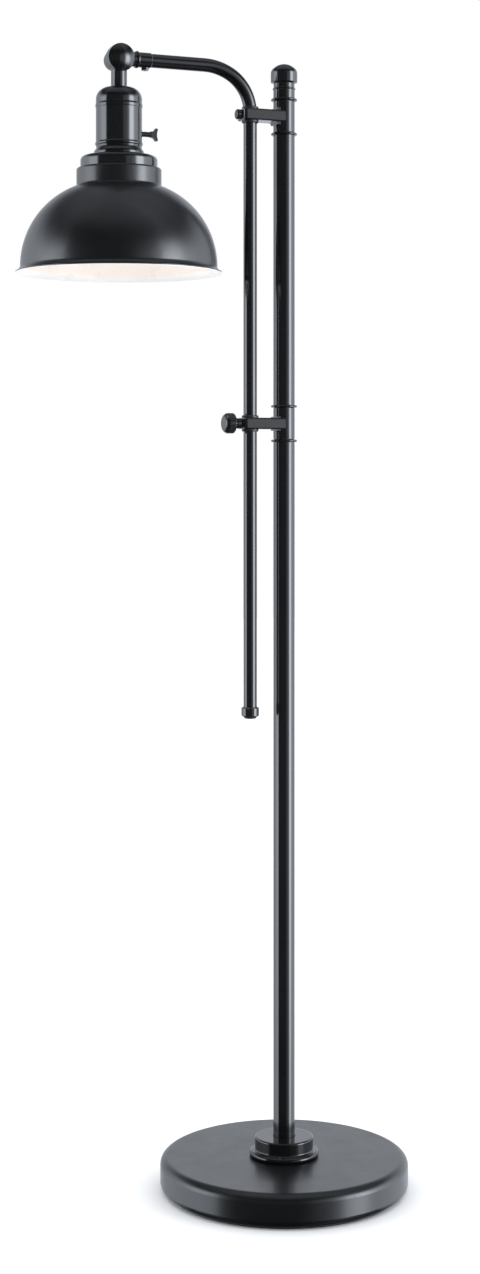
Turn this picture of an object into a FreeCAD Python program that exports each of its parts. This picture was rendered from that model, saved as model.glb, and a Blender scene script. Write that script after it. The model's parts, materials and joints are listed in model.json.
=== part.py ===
import FreeCAD
import Part
import math
import os

# Pharmacy floor lamp, in millimetres.
# Origin: centre of the base's underside, on the pole's axis. +Z is up, and the arm reaches towards -X.
# The stand is a weighted round base and a pole built from stacked tubes on an inner post.
# Two brackets swing on that post and guide a sliding rod, which bends over into the arm.
# The shade hangs from a friction knuckle at the arm's end.

V = FreeCAD.Vector
OUT = "parts"

# Fits, on the radius
RUN = 0.05

# Base
BASE_R = 146.0
BASE_H = 40.0
BASE_EDGE_R = 9.5
COVER_T = 1.6
FELT_T = 2.0
WEIGHT_R = 134.0
WEIGHT_TOP = 20.0
WEIGHT_BOSS_R = 36.0
NUT_POCKET_TOP = 13.0
NIPPLE_R = 5.0
COLLAR_FLOOR = 46.0
COLLAR_TOP = 62.5

# Pole
POLE_R = 12.7
POLE_WALL = 1.5
POST_R = 7.0
RING_R = 15.5
RING_T = 3.0
RING_Z = [880.7, 921.3, 1242.3, 1282.7]
POLE_TOP_Z = 1296.0
BEAD_T = 2.4
FINIAL_SHOULDER_Z = 1304.6
FINIAL_R = 15.75
FINIAL_TOP_Z = 1326.8

# Brackets
ROD_X = -43.5
BAR_END_X = -55.5
BAR_W = 24.6
BAR_H = 13.4
BAR_CORNER_R = 4.0
BAR_EDGE_R = 2.0
BOSS_R = 6.1
BOSS_END_X = -60.6
LOWER_Z = 902.4
UPPER_Z = 1264.0
BUSH_R = 8.6
BUSH_FLANGE_R = 9.8
BUSH_FLANGE_T = 2.8

# Arm: the rod and its bend
ROD_R = 7.94
ROD_WALL = 1.24
ROD_BOTTOM_Z = 561.6
ARM_Z = 1318.5
BEND_START_Z = 1266.5
BEND_LOW_R = 50.0
BEND_HIGH_R = 66.0
LEAD_R = 1.9

# Knuckle
HEAD_X = -206.7
KNUCKLE_R = 15.9
PARTING_GAP = 0.3
HALF_T = 9.0
ARM_RING_X = 19.5
ARM_RING_T = 3.6
FERRULE_R = 8.7
FERRULE_END_X = 38.3
STUD_R = 3.0
STEM_R = 9.2

# Knobs: a fluted barrel with a notched flange
KNOB_R = 12.0
KNOB_LENGTH = 13.0

# Head
CUP_TOP_Z = 1285.0
CUP_BOTTOM_Z = 1212.8
CUP_R = 26.5
CUP_WALL = 1.0
LIP_R = 28.8
LIP_BOTTOM_Z = 1206.2
CAP_R = 44.2
NECK_R = 48.6
NECK_TOP_Z = 1192.4
SHADE_T = 1.0
SHADE_ARC_R = 97.8
SHADE_ARC_X = 14.8
SHADE_ARC_Z = 1080.0
RIM_R = 118.0
RIM_Z = 1073.0
SOCKET_R = 20.0
KEY_Z = 1233.4


def cylinder(radius, z0, z1, x=0.0, y=0.0):
    return Part.makeCylinder(radius, z1 - z0, V(x, y, z0))


def cylinder_x(radius, x0, x1, y, z):
    return Part.makeCylinder(radius, x1 - x0, V(x0, y, z), V(1, 0, 0))


def cylinder_y(radius, y0, y1, x, z):
    return Part.makeCylinder(radius, y1 - y0, V(x, y0, z), V(0, 1, 0))


def ring(outer, inner, z0, z1, x=0.0):
    return cylinder(outer, z0, z1, x).cut(cylinder(inner, z0 - 1, z1 + 1, x))


def box(x0, x1, y0, y1, z0, z1):
    return Part.makeBox(x1 - x0, y1 - y0, z1 - z0, V(x0, y0, z0))


def arc_mid(start, end, centre):
    """The middle of the shorter arc from start to end about centre, as (r, z)."""
    a = V(start[0] - centre[0], start[1] - centre[1], 0)
    b = V(end[0] - centre[0], end[1] - centre[1], 0)
    middle = (a + b).normalize() * a.Length
    return (centre[0] + middle.x, centre[1] + middle.y)


def outline_edges(path, place):
    """Edges through (r, z) points. An entry that is a pair of points is an arc: its middle, then its end."""
    edges = []
    last = path[0]
    for step in list(path[1:]) + [path[0]]:
        if isinstance(step[0], tuple):
            middle, end = step
            edges.append(Part.Arc(place(last), place(middle), place(end)).toShape())
            last = end
        elif math.dist(step, last) > 1e-6:
            edges.append(Part.LineSegment(place(last), place(step)).toShape())
            last = step
    return edges


def turned(path, x=0.0):
    """A solid of revolution about a vertical axis at x, from a closed (r, z) outline."""
    edges = outline_edges(path, lambda p: V(x + p[0], 0, p[1]))
    face = Part.Face(Part.Wire(edges))
    return face.revolve(V(x, 0, 0), V(0, 0, 1), 360)


def turned_y(path, x, z):
    """A solid of revolution about a line along Y through (x, z), from a closed (r, y) outline."""
    edges = outline_edges(path, lambda p: V(x + p[0], p[1], z))
    face = Part.Face(Part.Wire(edges))
    return face.revolve(V(x, 0, z), V(0, 1, 0), 360)


def turned_x(path, y, z):
    """A solid of revolution about a line along X through (y, z), from a closed (r, x) outline."""
    edges = outline_edges(path, lambda p: V(p[1], y, z + p[0]))
    face = Part.Face(Part.Wire(edges))
    return face.revolve(V(0, y, z), V(1, 0, 0), 360)


def route_wire(points, radii):
    """Straight runs through the points, joined by a tangent arc of the given radius at each inner point."""
    edges = []
    start = V(*points[0])
    for i, radius in enumerate(radii):
        before, corner, after = [V(*p) for p in points[i:i + 3]]
        into = (corner - before).normalize()
        out = (after - corner).normalize()
        turn = into.getAngle(out)
        reach = radius * math.tan(turn / 2)
        first = corner - into * reach
        last = corner + out * reach
        inward = (out - into).normalize()
        middle = corner + inward * (radius / math.cos(turn / 2) - radius)
        if start.distanceToPoint(first) > 1e-6:
            edges.append(Part.LineSegment(start, first).toShape())
            start = first
        edges.append(Part.Arc(start, middle, last).toShape())
        start = last
    edges.append(Part.LineSegment(start, V(*points[-1])).toShape())
    return Part.Wire(edges)


def swept(points, radii, radius):
    wire = route_wire(points, radii)
    start = V(*points[0])
    heading = V(*points[1]) - start
    circle = Part.Wire(Part.makeCircle(radius, start, heading))
    solid = wire.makePipeShell([circle], True, False)
    expected = math.pi * radius ** 2 * wire.Length
    assert abs(solid.Volume / expected - 1) < 0.02, "a swept tube has the wrong volume"
    return solid


def scalloped(solid, count, cutter_at):
    """Cut the same small groove from a solid count times, evenly round."""
    cutters = [cutter_at(360.0 * i / count) for i in range(count)]
    return solid.cut(Part.makeCompound(cutters))


def hexagon(across_flats, z0, z1):
    corner = across_flats / math.sqrt(3)
    points = [V(corner * math.cos(math.radians(60 * i)), corner * math.sin(math.radians(60 * i)), z0)
              for i in range(7)]
    face = Part.Face(Part.makePolygon(points))
    return face.extrude(V(0, 0, z1 - z0))


def save(name, shape):
    for solid in shape.Solids:
        assert solid.isValid(), name + " is not valid"
    shape.exportStep(os.path.join(OUT, name + ".step"))


# ---- base -------------------------------------------------------------------------------------------

def base_cover():
    edge = BASE_EDGE_R
    flat = BASE_R - edge
    foot_r = 8.5
    inner_r = BASE_R - COVER_T
    top = BASE_H
    under = BASE_H - COVER_T
    hole = NIPPLE_R + 0.3
    high = (flat, top - edge)
    low = (BASE_R - foot_r, FELT_T + foot_r)
    path = [
        (hole, top),
        (flat, top),
        (arc_mid((flat, top), (BASE_R, top - edge), high), (BASE_R, top - edge)),
        (BASE_R, low[1]),
        (arc_mid((BASE_R, low[1]), (low[0], FELT_T), low), (low[0], FELT_T)),
        (low[0], FELT_T + COVER_T),
        (arc_mid((low[0], FELT_T + COVER_T), (inner_r, low[1]), low), (inner_r, low[1])),
        (inner_r, top - edge),
        (arc_mid((inner_r, top - edge), (flat, under), high), (flat, under)),
        (hole, under),
    ]
    return turned(path)


def base_weight():
    path = [
        (20.0, FELT_T),
        (WEIGHT_R, FELT_T),
        (WEIGHT_R, WEIGHT_TOP - 3),
        (WEIGHT_R - 3, WEIGHT_TOP),
        (WEIGHT_BOSS_R + 2, WEIGHT_TOP),
        (WEIGHT_BOSS_R, WEIGHT_TOP + 2),
        (WEIGHT_BOSS_R, BASE_H - COVER_T),
        (NIPPLE_R + 0.3, BASE_H - COVER_T),
        (NIPPLE_R + 0.3, NUT_POCKET_TOP),
        (20.0, NUT_POCKET_TOP),
    ]
    return turned(path)


def base_collar():
    flange_r = 41.0
    barrel_r = 34.4
    bulge = 3.5
    top = COLLAR_TOP
    path = [
        (NIPPLE_R + 0.3, BASE_H),
        (flange_r - 2.5, BASE_H),
        ((flange_r, BASE_H + bulge), (flange_r - 2.5, BASE_H + 2 * bulge)),
        (barrel_r + 1.4, BASE_H + 2 * bulge),
        ((barrel_r + 0.3, BASE_H + 2 * bulge + 0.9), (barrel_r, BASE_H + 2 * bulge + 2.4)),
        (barrel_r, top - 2.0),
        ((barrel_r - 0.6, top - 0.6), (barrel_r - 2.0, top)),
        (POLE_R + 0.8, top),
        (POLE_R + RUN, top - 0.8),
        (POLE_R + RUN, COLLAR_FLOOR),
        (NIPPLE_R + 0.3, COLLAR_FLOOR),
    ]
    return turned(path)


def build_base():
    save("base_felt_pad", cylinder(BASE_R - 8.6, 0, FELT_T))
    save("base_cover", base_cover())
    save("base_weight", base_weight())
    washer_bottom = NUT_POCKET_TOP - 1.6
    save("base_washer", ring(16.0, NIPPLE_R + 0.3, washer_bottom, NUT_POCKET_TOP))
    nut = hexagon(17.0, washer_bottom - 6.5, washer_bottom)
    save("base_nut", nut.cut(cylinder(NIPPLE_R + RUN, 0, NUT_POCKET_TOP)))
    save("base_nipple", ring(NIPPLE_R, 3.2, 4.0, 68.0))
    save("base_collar", base_collar())


# ---- pole -------------------------------------------------------------------------------------------

def pole_ring(z, spigot_up):
    soft = 1.1
    bore = POST_R + RUN
    disc = turned([
        (bore, z),
        (RING_R - soft, z),
        ((RING_R, z + RING_T / 2), (RING_R - soft, z + RING_T)),
        (bore, z + RING_T),
    ])
    spigot_r = POLE_R - POLE_WALL - RUN
    if spigot_up:
        spigot = ring(spigot_r, bore, z + RING_T, z + RING_T + 8)
    else:
        spigot = ring(spigot_r, bore, z - 8, z)
    return disc.fuse(spigot).removeSplitter()


def finial_cap():
    """A neck, a wider plain band, and a domed top of elliptical section."""
    bottom = POLE_TOP_Z + BEAD_T
    shoulder = FINIAL_SHOULDER_Z
    band_top = 1315.6
    corner_r = 7.6
    corner = (FINIAL_R - corner_r, band_top)
    turn = math.radians(55)
    crown_start = (corner[0] + corner_r * math.cos(turn), corner[1] + corner_r * math.sin(turn))
    rise = FINIAL_TOP_Z - crown_start[1]
    crown_r = (crown_start[0] ** 2 + rise ** 2) / (2 * rise)
    crown = (0.0, FINIAL_TOP_Z - crown_r)
    apex = (0.0, FINIAL_TOP_Z)
    return turned([
        (POST_R + RUN, bottom),
        (POLE_R - 0.3, bottom),
        (POLE_R - 0.3, shoulder - 1.2),
        ((POLE_R + 0.7, shoulder - 0.4), (FINIAL_R - 1.0, shoulder)),
        ((FINIAL_R - 0.3, shoulder + 0.3), (FINIAL_R, shoulder + 1.0)),
        (FINIAL_R, band_top),
        (arc_mid((FINIAL_R, band_top), crown_start, corner), crown_start),
        (arc_mid(crown_start, apex, crown), apex),
        (0.0, 1313.0),
        (POST_R + RUN, 1313.0),
    ])


def build_pole():
    bore = POLE_R - POLE_WALL
    plug_r = bore - RUN
    save("pole_lower", ring(POLE_R, bore, COLLAR_FLOOR, RING_Z[0]))
    save("pole_middle", ring(POLE_R, bore, RING_Z[1] + RING_T, RING_Z[2]))
    save("pole_top", ring(POLE_R, bore, RING_Z[3] + RING_T, POLE_TOP_Z))
    save("pole_bottom_plug", ring(plug_r, NIPPLE_R + RUN, COLLAR_FLOOR, 72.0))
    save("pole_post_plug", ring(plug_r, POST_R + RUN, 840.0, RING_Z[0] - 8.5))
    save("inner_post", ring(POST_R, 5.0, 836.0, 1312.0))
    for i, z in enumerate(RING_Z):
        save("pole_ring_%d" % (i + 1), pole_ring(z, spigot_up=i % 2 == 1))
    washers = []
    for low, high in ((RING_Z[0] + RING_T, RING_Z[1]), (RING_Z[2] + RING_T, RING_Z[3])):
        washers.append(ring(12.0, POST_R + RUN, low, low + 0.7))
        washers.append(ring(12.0, POST_R + RUN, high - 0.7, high))
    save("swing_washers", Part.makeCompound(washers))
    bead = turned([
        (POST_R + RUN, POLE_TOP_Z),
        (POLE_R, POLE_TOP_Z),
        ((POLE_R + 0.9, POLE_TOP_Z + BEAD_T / 2), (POLE_R, POLE_TOP_Z + BEAD_T)),
        (POST_R + RUN, POLE_TOP_Z + BEAD_T),
    ])
    save("pole_bead", bead)
    save("finial_cap", finial_cap())


# ---- brackets, bushes and their screws -----------------------------------------------------------------

def rounded_bar(z):
    bar = box(BAR_END_X, 0, -BAR_W / 2, BAR_W / 2, z - BAR_H / 2, z + BAR_H / 2)
    corners = [e for e in bar.Edges if e.BoundBox.ZLength > 1 and e.CenterOfMass.x < -1]
    bar = bar.makeFillet(BAR_CORNER_R, corners)
    rims = [e for e in bar.Edges if e.BoundBox.ZLength < 0.01 and e.CenterOfMass.x < -1]
    return bar.makeFillet(BAR_EDGE_R, rims)


def flare(z, radius, way):
    """The hollow fillet where a bar's top or bottom face runs into its sleeve."""
    face = z + way * BAR_H / 2
    root = -POLE_R + 0.2
    hollow = radius * (1 - math.sqrt(0.5))

    def at(x, dz):
        return V(x, -9.5, face + way * dz)

    outline = [
        Part.Arc(at(root - radius, 0), at(root - hollow, hollow), at(root, radius)).toShape(),
        Part.LineSegment(at(root, radius), at(-4, radius)).toShape(),
        Part.LineSegment(at(-4, radius), at(-4, -1)).toShape(),
        Part.LineSegment(at(-4, -1), at(root - radius, -1)).toShape(),
        Part.LineSegment(at(root - radius, -1), at(root - radius, 0)).toShape(),
    ]
    return Part.Face(Part.Wire(outline)).extrude(V(0, 19, 0))


def bracket(z, sleeve_bottom, sleeve_top, fillet):
    """A flat bar on a sleeve: the sleeve turns on the post and the bar's end holds the rod's bushes."""
    flares = [flare(z, fillet, 1), flare(z, fillet, -1)]
    body = rounded_bar(z).fuse([cylinder(POLE_R, sleeve_bottom, sleeve_top)] + flares)
    body = body.cut(cylinder(POST_R + RUN, sleeve_bottom - 1, sleeve_top + 1))
    return body.cut(cylinder(BUSH_R + RUN, z - BAR_H, z + BAR_H, ROD_X))


def screw_bore(z):
    return cylinder_x(2.5 + RUN, BOSS_END_X - 1, ROD_X, 0, z)


def bush(z, up):
    """A flanged bush pressed into one face of a bracket, with a lead-in cone at its flange."""
    face = z + BAR_H / 2 if up else z - BAR_H / 2
    way = 1 if up else -1
    bore = ROD_R + 0.06
    inner_end = z + 0.1 * way
    flange_near = face + RUN * way
    flange_far = face + BUSH_FLANGE_T * way
    return turned([
        (bore, inner_end),
        (BUSH_R, inner_end),
        (BUSH_R, flange_near),
        (BUSH_FLANGE_R, flange_near),
        (BUSH_FLANGE_R, flange_far - 0.6 * way),
        (BUSH_FLANGE_R - 0.6, flange_far),
        (bore + 0.75, flange_far),
        (bore, flange_far - 6.0 * way),
    ], ROD_X)


def knob():
    """A knob along +Z from z = 0: a fluted drum with a tapered nose."""
    nose_r = 7.2
    blank = turned([
        (0.0, 0.0),
        (KNOB_R - 1.8, 0.0),
        ((KNOB_R - 0.5, 0.5), (KNOB_R, 1.8)),
        (KNOB_R, 7.6),
        ((KNOB_R - 1.4, 11.0), (nose_r, KNOB_LENGTH)),
        (0.0, KNOB_LENGTH),
    ])

    def flute(angle):
        turn = math.radians(angle)
        reach = KNOB_R + 0.45
        return cylinder(0.95, -1.0, KNOB_LENGTH + 1, reach * math.cos(turn), reach * math.sin(turn))

    return scalloped(blank, 26, flute)


def build_brackets():
    washer_gap = 0.8
    lower = bracket(LOWER_Z, RING_Z[0] + RING_T + washer_gap, RING_Z[1] - washer_gap, 1.6)
    upper = bracket(UPPER_Z, RING_Z[2] + RING_T + washer_gap, RING_Z[3] - washer_gap, 3.2)
    boss = cylinder_x(BOSS_R, BOSS_END_X, BAR_END_X + 1, 0, LOWER_Z)
    save("lower_bracket", lower.fuse(boss).cut(screw_bore(LOWER_Z)))
    save("upper_bracket", upper.cut(screw_bore(UPPER_Z)))
    save("lower_bushes", Part.makeCompound([bush(LOWER_Z, True), bush(LOWER_Z, False)]))
    save("upper_bushes", Part.makeCompound([bush(UPPER_Z, True), bush(UPPER_Z, False)]))

    pad_tip = ROD_X - BUSH_R - 0.1
    pad_back = pad_tip - 1.6
    save("lock_pad", cylinder_x(2.4, pad_back, pad_tip, 0, LOWER_Z))
    save("tension_pad", cylinder_x(2.4, pad_back, pad_tip, 0, UPPER_Z))

    knob_near = -64.6
    lock_knob = knob()
    lock_knob.rotate(V(0, 0, 0), V(0, 1, 0), -90)
    lock_knob.translate(V(knob_near, 0, LOWER_Z))
    neck = cylinder_x(5.6, knob_near - 1, BOSS_END_X - 0.4, 0, LOWER_Z)
    screw_bore_in_knob = cylinder_x(2.5 + RUN, knob_near - 5, BOSS_END_X, 0, LOWER_Z)
    save("lock_knob", lock_knob.fuse(neck).cut(screw_bore_in_knob))
    save("lock_screw", cylinder_x(2.5, knob_near - 5, pad_back, 0, LOWER_Z))

    head = turned_x([
        (0.0, -61.4),
        (4.8, -61.4),
        (5.9, -60.3),
        (5.9, BAR_END_X - RUN),
        (2.5, BAR_END_X - RUN),
        (2.5, pad_back),
        (0.0, pad_back),
    ], 0, UPPER_Z)
    slot = box(-62.0, -60.2, -0.7, 0.7, UPPER_Z - 7, UPPER_Z + 7)
    save("tension_screw", head.cut(slot))


# ---- arm --------------------------------------------------------------------------------------------

def arm_route(start_z, end_x):
    """The rod's centre line: up, over through two tangent arcs, and out level to the knuckle."""
    rise = ARM_Z - BEND_START_Z
    turn = math.asin((BEND_HIGH_R - rise) / (BEND_HIGH_R - BEND_LOW_R))
    low_reach = BEND_LOW_R * math.tan(turn / 2)
    high_reach = BEND_HIGH_R * math.tan((math.pi / 2 - turn) / 2)
    corner_z = BEND_START_Z + low_reach
    corner_x = ROD_X - (low_reach + high_reach) * math.sin(turn)
    points = [(ROD_X, 0, start_z), (ROD_X, 0, corner_z), (corner_x, 0, ARM_Z), (end_x, 0, ARM_Z)]
    return points, [BEND_LOW_R, BEND_HIGH_R]


def screw_hole(radius, depth_z):
    """The set screw's hole up through the ferrule, the tube and into the knuckle's shank."""
    return cylinder(radius, ARM_Z - FERRULE_R - 2, ARM_Z - depth_z, HEAD_X + 31.7)


def arm_tube():
    points, radii = arm_route(ROD_BOTTOM_Z, HEAD_X + ARM_RING_X + ARM_RING_T + 0.1)
    outer = swept(points, radii, ROD_R)
    inner = swept(points, radii, ROD_R - ROD_WALL)
    return outer.cut(inner).cut(screw_hole(1.8, 0))


def rod_end_cap():
    top = 570.0
    floor = ROD_BOTTOM_Z
    bottom = 559.0
    radius = 10.4
    return turned([
        (5.1, bottom),
        (radius - 1.2, bottom),
        (radius, bottom + 1.2),
        (radius, top - 1.0),
        (radius - 1.0, top),
        (ROD_R + RUN, top),
        (ROD_R + RUN, floor),
        (5.1, floor),
    ], ROD_X)


def cable_bushing():
    return turned([
        (3.5, 556.6),
        (6.4, 556.6),
        ((7.2, 557.4), (7.4, 559.0 - RUN)),
        (5.0, 559.0 - RUN),
        (5.0, 566.0),
        (3.5, 566.0),
    ], ROD_X)


def jog_to_cavity():
    """The lead's last stretch in the arm's half of the knuckle, as offsets (along, sideways)."""
    return [(21.0, 0.0), (12.5, 3.8), (8.6, 3.8)]


def arm_lead(radius):
    points, radii = arm_route(568.0, HEAD_X)
    points = points[:-1] + [(HEAD_X + d, y, ARM_Z) for d, y in jog_to_cavity()]
    return swept(points, radii + [6.0, 6.0], radius)


def build_arm():
    save("arm_tube", arm_tube())
    save("rod_end_cap", rod_end_cap())
    save("cable_bushing", cable_bushing())
    save("arm_lead", arm_lead(LEAD_R))
    start = HEAD_X + ARM_RING_X + ARM_RING_T
    end = HEAD_X + FERRULE_END_X
    ferrule = turned_x([
        (ROD_R + RUN, start),
        (FERRULE_R, start),
        (FERRULE_R, end - 0.7),
        (FERRULE_R - 0.5, end),
        (ROD_R + RUN, end),
    ], 0, ARM_Z)
    save("arm_ferrule", ferrule.cut(screw_hole(1.8, 0)))
    x = HEAD_X + 31.7
    top = ARM_Z - FERRULE_R - RUN
    head = cylinder(4.3, top - 3.1, top, x).cut(cylinder(1.6, top - 4, top - 1.6, x))
    save("ferrule_screw", head.fuse(cylinder(1.7, top, ARM_Z - 3.6, x)))


# ---- knuckle ----------------------------------------------------------------------------------------

def cavity(y0, y1):
    """A half's ring-shaped pocket, where the lead loops round the stud."""
    outer = cylinder_y(10.6, y0, y1, HEAD_X, ARM_Z)
    return outer.cut(cylinder_y(5.4, y0 - 1, y1 + 1, HEAD_X, ARM_Z))


def arm_knuckle_half():
    rear_r = KNUCKLE_R - 1.6
    disc = turned_y([
        (STUD_R + RUN, PARTING_GAP),
        (rear_r, PARTING_GAP),
        (rear_r, HALF_T - 2.0),
        (rear_r - 2.0, HALF_T),
        (STUD_R + RUN, HALF_T),
    ], HEAD_X, ARM_Z)
    neck = cylinder_x(8.4, HEAD_X + 8, HEAD_X + ARM_RING_X, 0, ARM_Z)
    neck = neck.cut(cylinder_y(KNUCKLE_R + 0.4, -20, PARTING_GAP, HEAD_X, ARM_Z))
    x0 = HEAD_X + ARM_RING_X
    x1 = x0 + ARM_RING_T
    flange = turned_x([
        (0.0, x0),
        (9.2, x0),
        ((9.9, (x0 + x1) / 2), (9.2, x1)),
        (6.6, x1),
        (6.6, x1 + 16),
        (0.0, x1 + 16),
    ], 0, ARM_Z)
    body = disc.fuse([neck, flange])
    body = body.cut(cavity(PARTING_GAP - 1, 6.8))
    body = body.cut(cylinder_y(STUD_R + RUN, -1, HALF_T + 1, HEAD_X, ARM_Z))
    body = body.cut(cylinder_x(2.6, HEAD_X + 20, x1 + 17, 0, ARM_Z))
    jog = [(HEAD_X + d, y, ARM_Z) for d, y in jog_to_cavity()]
    body = body.cut(swept([(HEAD_X + 24, 0, ARM_Z)] + jog, [6.0, 6.0], 2.5))
    return body.cut(screw_hole(1.75, 3.5))


def head_knuckle_half():
    dome_base = -9.6
    dome_top = -15.4
    height = dome_base - dome_top
    sphere = (KNUCKLE_R ** 2 + height ** 2) / (2 * height)
    centre = (0.0, dome_top + sphere)
    base = (KNUCKLE_R, dome_base)
    apex = (0.0, dome_top)
    disc = turned_y([
        (0.0, -PARTING_GAP),
        (KNUCKLE_R, -PARTING_GAP),
        base,
        (arc_mid(base, apex, centre), apex),
    ], HEAD_X, ARM_Z)
    stem = cylinder(STEM_R, CUP_TOP_Z, ARM_Z - 8, HEAD_X)
    room = cylinder_y(KNUCKLE_R + 0.4, -PARTING_GAP, 20, HEAD_X, ARM_Z)
    body = disc.fuse(stem.cut(room))
    body = body.cut(cavity(-6.8, 1))
    body = body.cut(cylinder_y(STUD_R + RUN, -9.6, 1, HEAD_X, ARM_Z))
    jog = [(HEAD_X, -y, ARM_Z - d) for d, y in reversed(jog_to_cavity())]
    body = body.cut(swept(jog + [(HEAD_X, 0, ARM_Z - 25)], [6.0, 6.0], 2.5))
    body = body.cut(cylinder(2.6, CUP_TOP_Z - 1, ARM_Z - 22, HEAD_X))
    return body.cut(cylinder(NIPPLE_R + RUN, CUP_TOP_Z - 1, CUP_TOP_Z + 8, HEAD_X))


def knuckle_knob():
    y0 = 10.6
    made = knob()
    made.rotate(V(0, 0, 0), V(1, 0, 0), -90)
    made.translate(V(HEAD_X, y0, ARM_Z))
    return made.cut(cylinder_y(STUD_R + RUN, y0 - 1, y0 + KNOB_LENGTH - 3, HEAD_X, ARM_Z))


def build_knuckle():
    save("arm_knuckle_half", arm_knuckle_half())
    save("head_knuckle_half", head_knuckle_half())
    friction = cylinder_y(13.8, -PARTING_GAP, PARTING_GAP - RUN, HEAD_X, ARM_Z)
    save("knuckle_friction_ring", friction.cut(cylinder_y(10.8, -1, 1, HEAD_X, ARM_Z)))
    save("knuckle_stud", cylinder_y(STUD_R, -9.5, 18.6, HEAD_X, ARM_Z))
    washer = cylinder_y(9.0, HALF_T + RUN, 10.4, HEAD_X, ARM_Z)
    save("knuckle_washer", washer.cut(cylinder_y(STUD_R + RUN, 8, 12, HEAD_X, ARM_Z)))
    save("knuckle_knob", knuckle_knob())


# ---- head -------------------------------------------------------------------------------------------

def socket_cup():
    shoulder = 14.0
    flat = CUP_R - shoulder
    turn_z = CUP_TOP_Z - shoulder
    centre = (flat, turn_z)
    inside = CUP_R - CUP_WALL
    path = [
        (NIPPLE_R + 0.2, CUP_TOP_Z),
        (flat, CUP_TOP_Z),
        (arc_mid((flat, CUP_TOP_Z), (CUP_R, turn_z), centre), (CUP_R, turn_z)),
        (CUP_R, 1266.6),
        ((CUP_R + 0.6, 1263.8), (CUP_R, 1261.0)),
        (CUP_R, 1222.4),
        ((CUP_R + 0.9, 1220.2), (CUP_R, 1218.0)),
        (CUP_R - 0.4, 1216.4),
        ((CUP_R + 0.4, 1213.8), (CUP_R + 1.2, CUP_BOTTOM_Z)),
        (inside, CUP_BOTTOM_Z),
        (inside, turn_z),
        (arc_mid((inside, turn_z), (flat, CUP_TOP_Z - CUP_WALL), centre), (flat, CUP_TOP_Z - CUP_WALL)),
        (NIPPLE_R + 0.2, CUP_TOP_Z - CUP_WALL),
    ]
    cup = turned(path, HEAD_X)
    return cup.cut(cylinder_x(3.6, HEAD_X + 20, HEAD_X + 30, 0, KEY_Z))


def lip_ring():
    middle = (LIP_BOTTOM_Z + CUP_BOTTOM_Z) / 2
    return turned([
        (SOCKET_R + 0.1, LIP_BOTTOM_Z),
        (LIP_R - 1.0, LIP_BOTTOM_Z),
        ((LIP_R, middle), (LIP_R - 1.0, CUP_BOTTOM_Z)),
        (SOCKET_R + 0.1, CUP_BOTTOM_Z),
    ], HEAD_X)


def neck_cap():
    """The spun step between the socket's lip and the shade, open underneath."""
    edge = 5.2
    flat = CAP_R - edge
    top = LIP_BOTTOM_Z
    centre = (flat, top - edge)
    inside = CAP_R - 1.0
    return turned([
        (SOCKET_R + 0.1, top),
        (flat, top),
        (arc_mid((flat, top), (CAP_R, top - edge), centre), (CAP_R, top - edge)),
        (CAP_R, NECK_TOP_Z),
        (inside, NECK_TOP_Z),
        (inside, top - edge),
        (arc_mid((inside, top - edge), (flat, top - 1.0), centre), (flat, top - 1.0)),
        (SOCKET_R + 0.1, top - 1.0),
    ], HEAD_X)


def dome_path(offset, start_r):
    """The shade's dome and rolled rim at an inward offset, from start_r down to the rim's edge."""
    radius = SHADE_ARC_R - offset
    centre = (SHADE_ARC_X, SHADE_ARC_Z)
    start = (start_r, SHADE_ARC_Z + math.sqrt(radius ** 2 - (start_r - SHADE_ARC_X) ** 2))
    equator = (SHADE_ARC_X + radius, SHADE_ARC_Z)
    flare = RIM_R - SHADE_ARC_X - SHADE_ARC_R
    rim = (RIM_R, RIM_Z + SHADE_T - offset)
    bend = (equator[0] + 0.33 * (flare + offset), (SHADE_ARC_Z + rim[1]) / 2 - 0.8)
    return start, (arc_mid(start, equator, centre), equator), (bend, rim)


def shade():
    outer = dome_path(0.0, NECK_R + 2.4)
    inner_start, inner_dome, inner_rim = dome_path(SHADE_T, NECK_R - SHADE_T)
    edge = 2.5
    foot = (NECK_R, outer[0][1] + 2.6)
    crease = (NECK_R + 0.7, outer[0][1] + 0.8)
    top = NECK_TOP_Z
    high = (NECK_R - edge, top - edge)
    path = [
        (SOCKET_R + 0.1, top),
        (NECK_R - edge, top),
        (arc_mid((NECK_R - edge, top), (NECK_R, top - edge), high), (NECK_R, top - edge)),
        foot,
        (crease, outer[0]),
        outer[1],
        outer[2],
        (RIM_R, inner_rim[1][1]),
        (inner_rim[0], inner_dome[1]),
        (inner_dome[0], inner_start),
        (NECK_R - SHADE_T, top - edge),
        (arc_mid((NECK_R - SHADE_T, top - edge), (NECK_R - edge, top - SHADE_T), high),
         (NECK_R - edge, top - SHADE_T)),
        (SOCKET_R + 0.1, top - SHADE_T),
    ]
    return turned(path, HEAD_X)


def shade_liner():
    """The white reflector that lines the dome, a little clear of it."""
    gap = 0.15
    thick = 0.5
    outer = dome_path(SHADE_T + gap, NECK_R - 2)
    inner_start, inner_dome, inner_rim = dome_path(SHADE_T + gap + thick, NECK_R - 2)
    return turned([
        outer[0],
        outer[1],
        outer[2],
        inner_rim[1],
        (inner_rim[0], inner_dome[1]),
        (inner_dome[0], inner_start),
    ], HEAD_X)


def socket_body():
    """The insulator: a tube for the screw shell, with a flange that the lip ring clamps in the cup."""
    flange_r = CUP_R - CUP_WALL - RUN
    return turned([
        (16.5, 1180.0),
        (SOCKET_R, 1180.0),
        (SOCKET_R, CUP_BOTTOM_Z),
        (flange_r, CUP_BOTTOM_Z),
        (flange_r, CUP_BOTTOM_Z + 3),
        (SOCKET_R, CUP_BOTTOM_Z + 5),
        (SOCKET_R, 1223.0),
        (3.0, 1223.0),
        (3.0, 1216.0),
        (14.4, 1216.0),
        (14.4, 1188.6),
        (16.5, 1188.6),
    ], HEAD_X)


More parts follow.
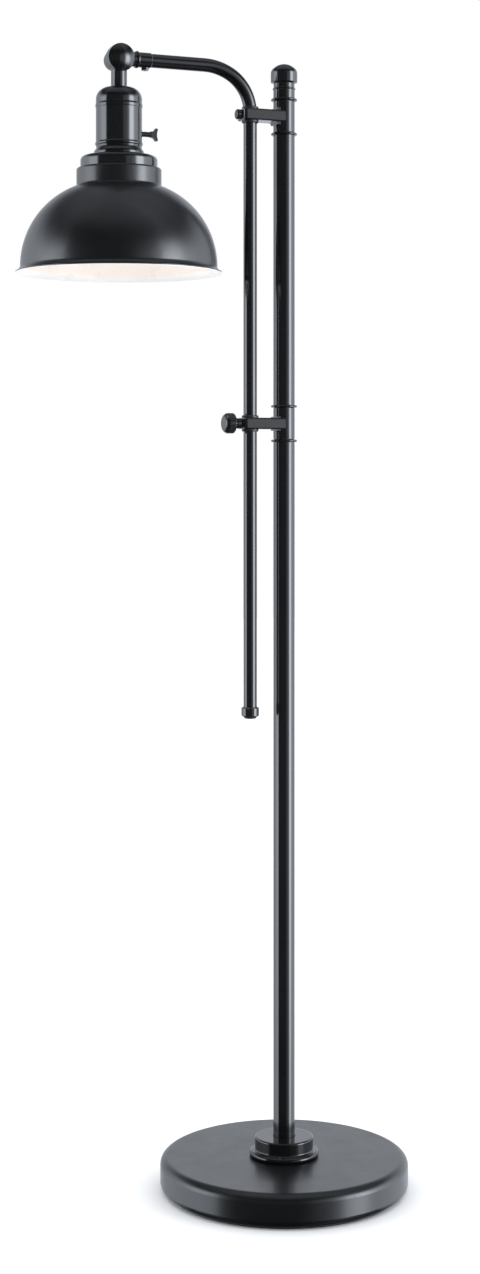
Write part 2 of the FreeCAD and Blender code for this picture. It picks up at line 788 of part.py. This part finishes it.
def shade_ring():
    ring_top = NECK_TOP_Z - SHADE_T
    blank = ring(30.0, SOCKET_R + RUN, ring_top - 6, ring_top, HEAD_X)

    def notch(angle):
        turn = math.radians(angle)
        return cylinder(2.2, ring_top - 7, ring_top + 1, HEAD_X + 30.8 * math.cos(turn), 30.8 * math.sin(turn))

    return scalloped(blank, 12, notch)


def bulb_cap():
    """A medium screw cap with round threads, its solder tip uppermost."""
    path = [(0.0, 1188.0), (12.9, 1188.0)]
    z = 1190.0
    while z < 1206.0:
        path.append((12.3, z))
        path.append(((13.1, z + 1.6), (12.3, z + 3.2)))
        z += 3.4
    path += [(11.6, 1208.0), (5.0, 1211.6), (4.2, 1213.0), (0.0, 1213.0)]
    return turned(path, HEAD_X)


def bulb_globe():
    """A pear-shaped glass globe: a hollow shell, open only into its cap."""
    ball_r = 29.5
    ball_z = 1133.0
    wall = 1.0

    def half(offset, neck_r):
        radius = ball_r - offset
        angle = math.radians(35)
        side = (radius * math.cos(angle), ball_z + radius * math.sin(angle))
        bottom = (0.0, ball_z - radius)
        middle = (radius * math.cos(math.radians(-27.5)), ball_z + radius * math.sin(math.radians(-27.5)))
        waist = (neck_r + 4.2, 1168.0)
        return bottom, middle, side, waist, (neck_r, 1187.8)

    bottom, middle, side, waist, neck = half(0.0, 14.6)
    in_bottom, in_middle, in_side, in_waist, in_neck = half(wall, 13.6)
    path = [
        bottom,
        (middle, side),
        (waist, neck),
        in_neck,
        (in_waist, in_side),
        (in_middle, in_bottom),
    ]
    return turned(path, HEAD_X)


def key_wing():
    """The switch key's flat wings, spreading from the stem to two rounded tips."""
    x0 = HEAD_X + 38.0
    x1 = HEAD_X + 47.0
    half = 7.4
    root = 3.6

    def at(x, z):
        return V(x, 2.0, KEY_Z + z)

    edges = [
        Part.Arc(at(x0, root), at(x0 + 3.4, root + 0.5), at(x1 - 3.4, half - 0.5)).toShape(),
        Part.Arc(at(x1 - 3.4, half - 0.5), at(x1 - 1.5, half), at(x1, half - 1.6)).toShape(),
        Part.Arc(at(x1, half - 1.6), at(x1 - 1.2, 0), at(x1, 1.6 - half)).toShape(),
        Part.Arc(at(x1, 1.6 - half), at(x1 - 1.5, -half), at(x1 - 3.4, 0.5 - half)).toShape(),
        Part.Arc(at(x1 - 3.4, 0.5 - half), at(x0 + 3.4, -root - 0.5), at(x0, -root)).toShape(),
        Part.LineSegment(at(x0, -root), at(x0, root)).toShape(),
    ]
    return Part.Face(Part.Wire(edges)).extrude(V(0, -4.0, 0))


def build_head():
    x = HEAD_X
    save("head_nipple", ring(NIPPLE_R, 2.7, CUP_TOP_Z - 9, CUP_TOP_Z + 7.5, x))
    nut = hexagon(15.0, CUP_TOP_Z - 6, CUP_TOP_Z - CUP_WALL - RUN)
    nut.translate(V(x, 0, 0))
    save("head_nut", nut.cut(cylinder(NIPPLE_R + RUN, CUP_TOP_Z - 9, CUP_TOP_Z, x)))
    save("socket_cup", socket_cup())
    save("lip_ring", lip_ring())
    save("neck_cap", neck_cap())
    save("shade", shade())
    save("shade_liner", shade_liner())
    save("shade_ring", shade_ring())
    save("socket_body", socket_body())
    save("screw_shell", ring(14.3, 13.6, 1189.0, 1214.6, x).fuse(ring(14.3, 6.0, 1214.6, 1215.6, x)))
    contact = cylinder(2.9, 1216.2, 1222.6, x).fuse(cylinder(4.6, 1213.1, 1214.2, x))
    save("centre_contact", contact.fuse(cylinder(1.2, 1214.0, 1216.4, x)))
    save("bulb_cap", bulb_cap())
    save("bulb_globe", bulb_globe())
    save("bulb_filament", filament())
    switch = cylinder(19.0, 1223.2, 1250.0, x).cut(cylinder_x(2.0 + RUN, x + 5, x + 20, 0, KEY_Z))
    save("switch_body", switch)
    lead = [(x, -s, ARM_Z - d) for d, s in reversed(jog_to_cavity())] + [(x, 0, 1250.2)]
    save("head_lead", swept(lead, [6.0, 6.0], LEAD_R))
    save("switch_spindle", cylinder_x(2.0, x + 6, x + 36, 0, KEY_Z))
    stem = cylinder_x(3.0, x + CUP_R + 0.9, x + 39, 0, KEY_Z).fuse(key_wing())
    save("switch_key", stem.cut(cylinder_x(2.0 + RUN, x + 20, x + 36, 0, KEY_Z)))


def filament():
    """The glass mount's stem and its two support wires inside the globe."""
    stem = turned([(0.0, 1188.0), (4.4, 1188.0), (3.0, 1158.0), (0.0, 1158.0)], HEAD_X)
    wires = []
    for side in (-1, 1):
        route = [(HEAD_X + 1.4 * side, 0, 1160.0), (HEAD_X + 1.4 * side, 0, 1151.0), (HEAD_X + 9.0 * side, 0, 1137.0)]
        wires.append(swept(route, [6.0], 0.5))
    coil = cylinder_x(1.2, HEAD_X - 9.2, HEAD_X + 9.2, 0, 1137.0)
    return stem.fuse(wires + [coil])


def main():
    os.makedirs(OUT, exist_ok=True)
    build_base()
    build_pole()
    build_brackets()
    build_arm()
    build_knuckle()
    build_head()


main()
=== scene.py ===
import bpy
import bmesh
import json
import math
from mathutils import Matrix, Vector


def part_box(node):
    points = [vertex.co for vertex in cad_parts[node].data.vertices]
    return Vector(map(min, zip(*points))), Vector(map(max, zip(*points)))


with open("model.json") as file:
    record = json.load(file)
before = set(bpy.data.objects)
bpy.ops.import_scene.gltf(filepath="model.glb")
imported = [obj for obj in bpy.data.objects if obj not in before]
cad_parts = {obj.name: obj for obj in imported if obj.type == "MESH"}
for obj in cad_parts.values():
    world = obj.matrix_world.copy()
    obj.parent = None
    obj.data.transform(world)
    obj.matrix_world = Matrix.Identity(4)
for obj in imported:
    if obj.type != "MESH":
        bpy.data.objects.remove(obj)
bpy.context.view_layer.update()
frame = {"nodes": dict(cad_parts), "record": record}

NODES = frame["nodes"]


# ---- small tools --------------------------------------------------------------------------------------

def smooth(obj, degrees=32.0):
    """Smooth shading that keeps the real corners."""
    mesh = obj.data
    mesh.polygons.foreach_set("use_smooth", [True] * len(mesh.polygons))
    mesh.set_sharp_from_angle(angle=math.radians(degrees))


class Graph:
    """A material's node tree, with short names for the nodes used below."""

    def __init__(self, name):
        self.material = bpy.data.materials.new(name)
        self.material.use_nodes = True
        self.tree = self.material.node_tree
        self.shader = self.tree.nodes["Principled BSDF"]
        self.where = self.tree.nodes.new("ShaderNodeTexCoord").outputs["Object"]

    def node(self, kind, **settings):
        made = self.tree.nodes.new("ShaderNode" + kind)
        for key, value in settings.items():
            setattr(made, key, value)
        return made

    def link(self, start, end):
        self.tree.links.new(start, end)

    def stretched(self, scale):
        mapping = self.node("Mapping")
        mapping.inputs["Scale"].default_value = scale
        self.link(self.where, mapping.inputs["Vector"])
        return mapping.outputs["Vector"]

    def noise(self, scale, detail=3.0, rough=0.5, vector=None):
        made = self.node("TexNoise")
        made.inputs["Scale"].default_value = scale
        made.inputs["Detail"].default_value = detail
        made.inputs["Roughness"].default_value = rough
        self.link(vector or self.where, made.inputs["Vector"])
        return made.outputs["Fac"]

    def map(self, value, low, high, to_low, to_high):
        made = self.node("MapRange")
        for key, number in (("From Min", low), ("From Max", high), ("To Min", to_low), ("To Max", to_high)):
            made.inputs[key].default_value = number
        self.link(value, made.inputs["Value"])
        return made.outputs["Result"]

    def mix(self, factor, first, second):
        made = self.node("Mix", data_type="RGBA")
        self.link(factor, made.inputs[0])
        for socket, colour in ((made.inputs[6], first), (made.inputs[7], second)):
            if isinstance(colour, tuple):
                socket.default_value = (*colour, 1.0)
            else:
                self.link(colour, socket)
        return made.outputs[2]

    def add(self, first, second, operation="ADD"):
        made = self.node("Math", operation=operation)
        self.link(first, made.inputs[0])
        if isinstance(second, float):
            made.inputs[1].default_value = second
        else:
            self.link(second, made.inputs[1])
        return made.outputs[0]

    def edges(self, radius, low, high):
        """1 on worn outer edges, 0 on open faces."""
        bevel = self.node("Bevel", samples=4)
        bevel.inputs["Radius"].default_value = radius
        flat = self.node("NewGeometry").outputs["Normal"]
        dot = self.node("VectorMath", operation="DOT_PRODUCT")
        self.link(bevel.outputs["Normal"], dot.inputs[0])
        self.link(flat, dot.inputs[1])
        return self.map(dot.outputs["Value"], low, high, 1.0, 0.0)

    def bump(self, height, distance, strength=1.0, after=None):
        made = self.node("Bump")
        made.inputs["Strength"].default_value = strength
        made.inputs["Distance"].default_value = distance
        self.link(height, made.inputs["Height"])
        if after:
            self.link(after, made.inputs["Normal"])
        return made.outputs["Normal"]

    def finish(self, colour=None, roughness=None, normal=None, **fixed):
        for name, value in (("Base Color", colour), ("Roughness", roughness), ("Normal", normal)):
            if value is None:
                continue
            if isinstance(value, tuple):
                self.shader.inputs[name].default_value = (*value, 1.0)
            elif isinstance(value, float):
                self.shader.inputs[name].default_value = value
            else:
                self.link(value, self.shader.inputs[name])
        for name, value in fixed.items():
            self.shader.inputs[name.replace("_", " ")].default_value = value
        return self.material


# ---- materials ----------------------------------------------------------------------------------------

def painted_bronze(name, tones, rough_range, grain):
    """Black-bronze paint: cloudy tone, fine orange peel, and a trace of bronze where edges wear."""
    g = Graph(name)
    clouds = g.noise(9.0, 4.0, 0.6)
    speck = g.noise(420.0, 2.0, 0.6)
    tone = g.mix(g.map(clouds, 0.35, 0.65, 0.0, 1.0), *tones)
    wear = g.edges(0.0011, 0.88, 0.975)
    patchy = g.map(g.noise(60.0, 4.0, 0.7), 0.42, 0.62, 0.0, 0.55)
    colour = g.mix(g.add(wear, patchy, "MULTIPLY"), tone, (0.075, 0.052, 0.036))
    smear = g.map(g.noise(26.0, 5.0, 0.65), 0.3, 0.7, *rough_range)
    rough = g.add(smear, g.map(speck, 0.3, 0.7, -0.006, 0.008))
    peel = g.bump(g.noise(grain, 2.0, 0.5), 0.00004, 0.035)
    return g.finish(colour, rough, peel, Metallic=0.0, Coat_Weight=0.15, Coat_Roughness=0.12)


def white_enamel():
    g = Graph("white_enamel")
    tone = g.mix(g.map(g.noise(14.0, 3.0), 0.3, 0.7, 0.0, 1.0), (0.75, 0.74, 0.73), (0.81, 0.8, 0.79))
    rough = g.map(g.noise(40.0, 4.0), 0.3, 0.7, 0.25, 0.4)
    return g.finish(tone, rough, g.bump(g.noise(500.0, 2.0), 0.00004, 0.4))


def cast_iron():
    g = Graph("cast_iron")
    tone = g.mix(g.noise(60.0, 5.0, 0.7), (0.05, 0.05, 0.05), (0.12, 0.11, 0.105))
    rough = g.map(g.noise(120.0, 4.0), 0.3, 0.7, 0.6, 0.85)
    return g.finish(tone, rough, g.bump(g.noise(350.0, 4.0, 0.7), 0.0004), Metallic=0.6)


def felt():
    g = Graph("felt")
    fibres = g.noise(900.0, 6.0, 0.8)
    tone = g.mix(fibres, (0.012, 0.012, 0.013), (0.035, 0.034, 0.033))
    rough = g.map(g.noise(200.0, 3.0), 0.3, 0.7, 0.88, 1.0)
    return g.finish(tone, rough, g.bump(fibres, 0.0005), Sheen_Weight=0.3)


def plated_steel():
    g = Graph("plated_steel")
    lines = g.noise(30.0, 4.0, 0.6, g.stretched((1.0, 1.0, 40.0)))
    tone = g.mix(g.noise(35.0, 3.0), (0.42, 0.42, 0.40), (0.56, 0.56, 0.53))
    return g.finish(tone, g.map(lines, 0.3, 0.7, 0.24, 0.42), g.bump(lines, 0.00005), Metallic=1.0)


def nylon(name, dark, light):
    g = Graph(name)
    tone = g.mix(g.noise(50.0, 3.0), dark, light)
    rough = g.map(g.noise(160.0, 4.0), 0.3, 0.7, 0.38, 0.56)
    return g.finish(tone, rough, g.bump(g.noise(900.0, 2.0), 0.00005))


def brass():
    g = Graph("brass")
    lines = g.noise(60.0, 4.0, 0.6, g.stretched((1.0, 1.0, 30.0)))
    tone = g.mix(g.noise(40.0, 4.0, 0.6), (0.52, 0.36, 0.12), (0.68, 0.5, 0.2))
    return g.finish(tone, g.map(lines, 0.3, 0.7, 0.2, 0.4), g.bump(lines, 0.00004), Metallic=1.0)


def lit_glass():
    """Frosted glass of a lit bulb: palest and brightest at the bottom of the globe, more orange and dimmer
    towards the cap.
    """
    g = Graph("bulb_glass")
    split = g.node("SeparateXYZ")
    g.link(g.where, split.inputs["Vector"])
    low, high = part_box("bulb_globe")
    height = g.map(split.outputs["Z"], low.z, high.z, 0.0, 1.0)
    tone = g.mix(height, (1.0, 0.78, 0.5), (1.0, 0.5, 0.18))
    frost = g.noise(300.0, 3.0)
    g.link(tone, g.shader.inputs["Emission Color"])
    return g.finish((0.95, 0.93, 0.88), g.map(frost, 0.3, 0.7, 0.4, 0.6), g.bump(frost, 0.00003),
                    Emission_Strength=3.0)


def bulb_mount():
    g = Graph("bulb_mount")
    tone = g.mix(g.noise(80.0, 2.0), (0.8, 0.8, 0.76), (0.9, 0.9, 0.88))
    return g.finish(tone, g.map(g.noise(50.0, 2.0), 0.3, 0.7, 0.08, 0.2), Transmission_Weight=0.6)


def paint_frame():
    """Give each CAD piece its material by the record's slot."""
    gloss = ((0.004, 0.0042, 0.0048), (0.0065, 0.0066, 0.007))
    satin = ((0.0035, 0.0038, 0.0044), (0.006, 0.0062, 0.007))
    made = {
        "bronze_paint": painted_bronze("bronze_paint", gloss, (0.09, 0.14), 260.0),
        "satin_paint": painted_bronze("satin_paint", satin, (0.28, 0.36), 200.0),
        "white_enamel": white_enamel(),
        "cast_iron": cast_iron(),
        "felt": felt(),
        "plated_steel": plated_steel(),
        "black_nylon": nylon("black_nylon", (0.008, 0.008, 0.008), (0.02, 0.02, 0.02)),
        "cable_sheath": nylon("cable_sheath", (0.012, 0.012, 0.012), (0.025, 0.025, 0.025)),
        "friction_fibre": nylon("friction_fibre", (0.09, 0.05, 0.025), (0.16, 0.09, 0.05)),
        "phenolic": nylon("phenolic", (0.012, 0.01, 0.009), (0.03, 0.025, 0.02)),
        "brass": brass(),
        "bulb_glass": lit_glass(),
        "bulb_mount": bulb_mount(),
    }
    slots = {row["node"]: row["material_slot"] for row in frame["record"]["subparts"]}
    for name, obj in NODES.items():
        obj.data.materials.clear()
        obj.data.materials.append(made[slots[name]])
        smooth(obj)


# ---- setting ------------------------------------------------------------------------------------------

# The way the camera looks, and the way to its right, across the floor.
LOOK = (0.3907, 0.9205)
RIGHT = (0.9205, -0.3907)
CAMERA_PLACE = (-1.0442, -2.327, 0.8477)
CAMERA_TURN = 23.0
LENS = 61.04
LENS_SHIFT = -0.131

# The light that the lamp reflects: (degrees to the right of the way back to the camera, brightness).
ROOM = [(-180, 1.0), (-144, 0.8), (-118, 1.6), (-100, 2.8), (-88, 4.6), (-66, 5.4), (-61, 0.1), (22, 0.1),
        (27, 0.7), (42, 0.9), (47, 1.6), (52, 1.6), (60, 11.0), (76, 11.0), (86, 4.0), (112, 2.0), (134, 1.2),
        (180, 1.0)]
BRIGHTEST = 12.0
TINT = (0.94, 1.0, 1.09)
FADE_LOW, FADE_HIGH = 0.11, 0.54
FADED = 0.03
WALL_RISE = 0.35
CEILING = 0.45
CEILING_LOW, CEILING_HIGH = 0.6, 0.95

FLOOR_HALF = 9.0
SKY_SIZE = 30.0
SKY_HEIGHT = 4.0
SKY_POWER = 2450.0


class Room:
    """The world: a white room, which the lamp reflects as soft boxes with a dark place at the camera."""

    def __init__(self):
        world = bpy.data.worlds.new("studio")
        bpy.context.scene.world = world
        world.use_nodes = True
        self.tree = world.node_tree
        self.tree.nodes.clear()
        self.direction = self.node("TexCoord").outputs["Generated"]

    def node(self, kind, **settings):
        made = self.tree.nodes.new("ShaderNode" + kind)
        for key, value in settings.items():
            setattr(made, key, value)
        return made

    def math(self, operation, *values):
        made = self.node("Math", operation=operation)
        for socket, value in zip(made.inputs, values):
            if isinstance(value, float):
                socket.default_value = value
            else:
                self.tree.links.new(value, socket)
        return made.outputs[0]

    def along(self, x, y, z=0.0):
        dot = self.node("VectorMath", operation="DOT_PRODUCT")
        dot.inputs[1].default_value = (x, y, z)
        self.tree.links.new(self.direction, dot.inputs[0])
        return dot.outputs["Value"]

    def fade(self, value, low, high, to_low, to_high):
        made = self.node("MapRange", interpolation_type="SMOOTHSTEP")
        for key, number in (("From Min", low), ("From Max", high), ("To Min", to_low), ("To Max", to_high)):
            made.inputs[key].default_value = number
        self.tree.links.new(value, made.inputs["Value"])
        return made.outputs["Result"]

    def around(self):
        """The boxes' brightness by the way round the lamp."""
        turn = self.math("ARCTAN2", self.along(*RIGHT), self.along(-LOOK[0], -LOOK[1]))
        ramp = self.node("ValToRGB")
        self.tree.links.new(self.math("MULTIPLY_ADD", turn, 0.5 / math.pi, 0.5), ramp.inputs["Fac"])
        stops = ramp.color_ramp.elements
        stops[0].position = 0.0
        stops[1].position = 1.0
        for angle, level in ROOM[1:-1]:
            stops.new(0.5 + angle / 360.0)
        for stop, (angle, level) in zip(stops, ROOM):
            stop.color = (*(level * part / BRIGHTEST for part in TINT), 1.0)
        return ramp.outputs["Color"]

    def up_and_down(self):
        """The boxes fade above and below the lamp's middle, and the wall behind it rises higher."""
        wall = self.math("MAXIMUM", self.math("MULTIPLY", self.along(*LOOK), WALL_RISE), 0.0)
        height = self.math("SUBTRACT", self.math("ABSOLUTE", self.along(0.0, 0.0, 1.0)), wall)
        return self.fade(height, FADE_LOW, FADE_HIGH, BRIGHTEST, FADED * BRIGHTEST)

    def background(self, colour, strength):
        made = self.node("Background")
        for socket, value in zip(made.inputs, (colour, strength)):
            if isinstance(value, (tuple, float)):
                socket.default_value = value
            else:
                self.tree.links.new(value, socket)
        return made.outputs[0]

    def join(self, kind, *shaders):
        made = self.node(kind)
        for socket, shader in zip(made.inputs, shaders):
            self.tree.links.new(shader, socket)
        return made.outputs[0]

    def build(self):
        boxes = self.background(self.around(), self.up_and_down())
        overhead = self.fade(self.along(0.0, 0.0, 1.0), CEILING_LOW, CEILING_HIGH, 0.0, CEILING)
        lit = self.join("AddShader", boxes, self.background((*TINT, 1.0), overhead))
        white = self.background((1.0, 1.0, 1.0, 1.0), 1.0)
        seen = self.node("LightPath").outputs["Is Camera Ray"]
        shown = self.join("MixShader", seen, lit, white)
        self.tree.links.new(shown, self.node("OutputWorld").inputs["Surface"])


def floor():
    mesh = bpy.data.meshes.new("floor")
    made = bmesh.new()
    bmesh.ops.create_grid(made, x_segments=1, y_segments=1, size=FLOOR_HALF)
    made.to_mesh(mesh)
    made.free()
    obj = bpy.data.objects.new("floor", mesh)
    obj.visible_glossy = False
    bpy.context.scene.collection.objects.link(obj)
    g = Graph("floor")
    tone = g.mix(g.noise(2.0, 2.0), (0.93, 0.93, 0.93), (0.95, 0.95, 0.95))
    mesh.materials.append(g.finish(tone, 0.9, None, Specular_IOR_Level=0.1))


def sky_light():
    """One wide soft light overhead, pointing down."""
    data = bpy.data.lights.new("sky_light", "AREA")
    data.shape = "SQUARE"
    data.size = SKY_SIZE
    data.energy = SKY_POWER
    obj = bpy.data.objects.new("sky_light", data)
    obj.location = (0.0, 0.0, SKY_HEIGHT)
    obj.visible_glossy = False
    obj.visible_camera = False
    bpy.context.scene.collection.objects.link(obj)


def camera():
    data = bpy.data.cameras.new("camera")
    data.sensor_fit = "AUTO"
    data.sensor_width = 36.0
    data.lens = LENS
    data.shift_y = LENS_SHIFT
    data.clip_end = 100.0
    obj = bpy.data.objects.new("camera", data)
    obj.location = CAMERA_PLACE
    obj.rotation_euler = (math.radians(90.0), 0.0, math.radians(-CAMERA_TURN))
    bpy.context.scene.collection.objects.link(obj)
    bpy.context.scene.camera = obj


paint_frame()
Room().build()
floor()
sky_light()
camera()
bpy.context.scene.view_settings.view_transform = "Standard"
